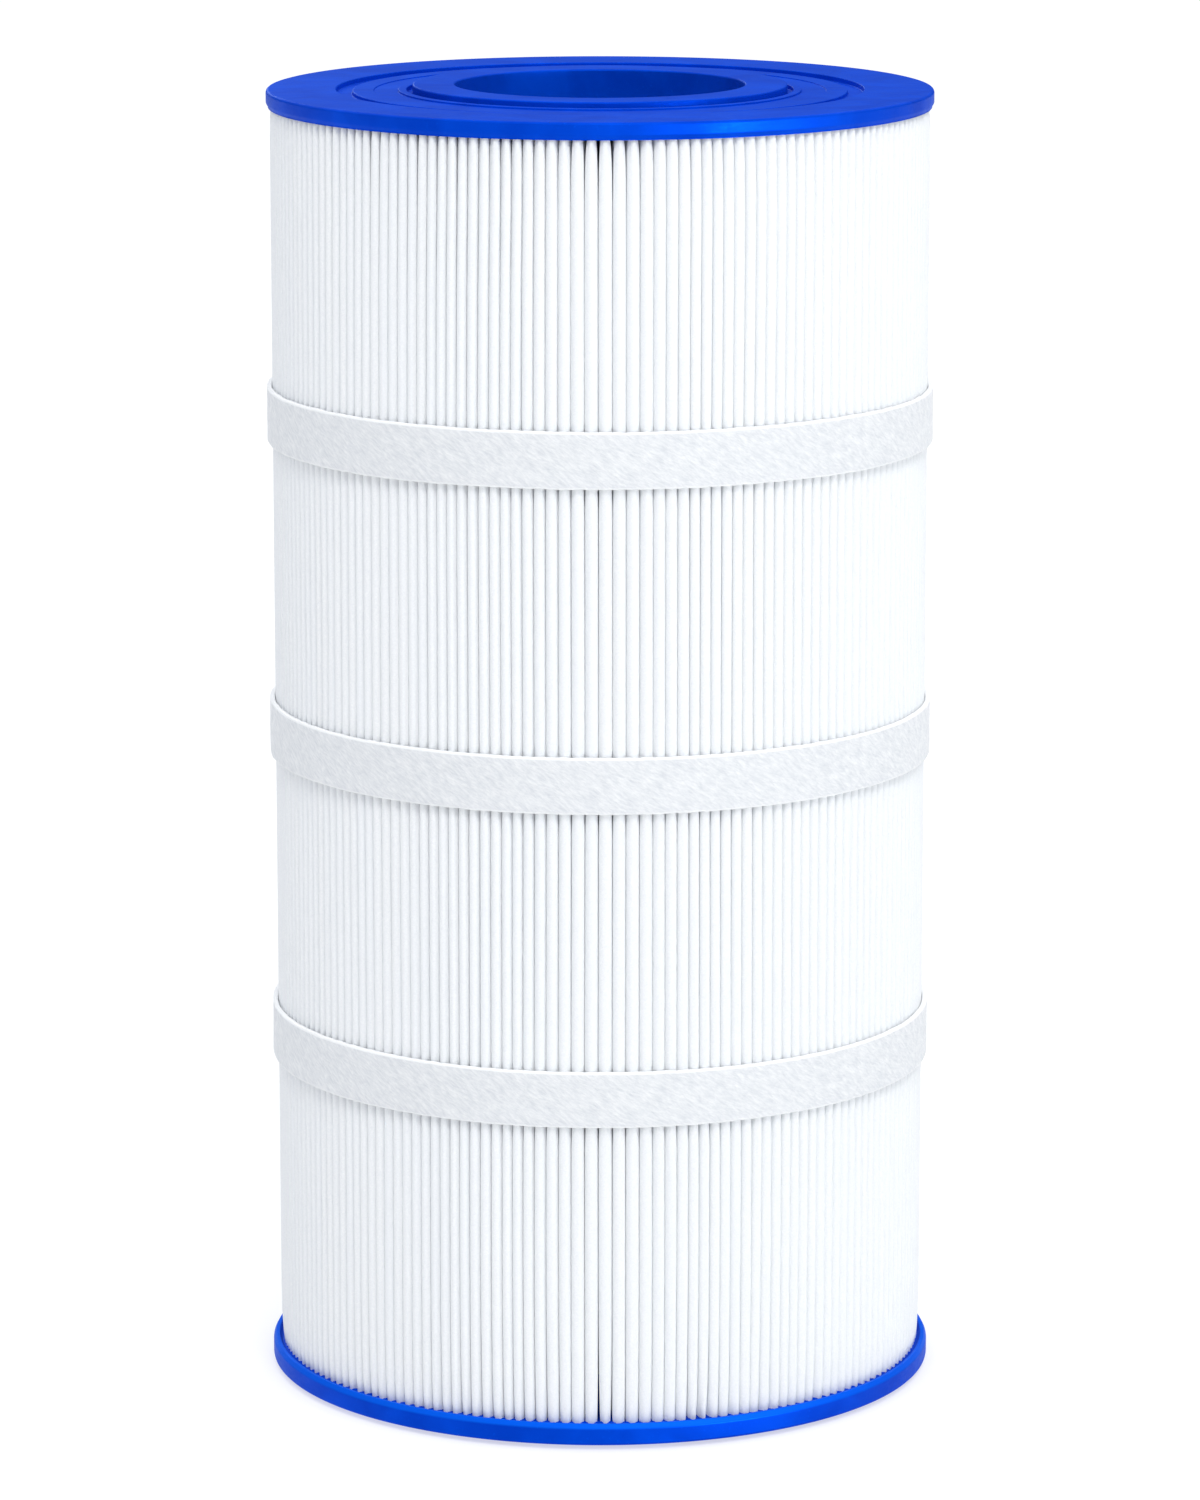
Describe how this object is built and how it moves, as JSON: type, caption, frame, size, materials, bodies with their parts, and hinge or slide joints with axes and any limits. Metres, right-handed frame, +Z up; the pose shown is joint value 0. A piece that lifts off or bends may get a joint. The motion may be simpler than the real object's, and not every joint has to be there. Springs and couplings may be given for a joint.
{
  "type": "pool filter cartridge",
  "caption": "Tall pleated filter cartridge: two blue end caps with round centre openings, white pleated cloth round a perforated core, and non-woven bands round the pleats.",
  "frame": {"origin": "centre of the bottom cap's collar, on the surface that the cartridge stands on", "axes": "+Z up along the cartridge's axis, +Y towards the back, where the seam and the bands' laps are"},
  "size_m": [0.23, 0.23, 0.448],
  "materials": {
    "cap_urethane": "smooth satin cast polyurethane",
    "filter_cloth": "matt spunbonded polyester",
    "band_felt": "fibrous matt non-woven strip",
    "core_plastic": "matt moulded plastic",
    "hot_melt": "smooth translucent hot-melt glue"
  },
  "bodies": {
    "root": {"top_end_cap": "cap_urethane", "bottom_end_cap": "cap_urethane", "pleated_media": "filter_cloth", "media_seam_bead": "hot_melt", "upper_core_section": "core_plastic", "lower_core_section": "core_plastic", "upper_band": "band_felt", "middle_band": "band_felt", "lower_band": "band_felt", "upper_band_glue": "hot_melt", "middle_band_glue": "hot_melt", "lower_band_glue": "hot_melt"}
  },
  "joints": []
}
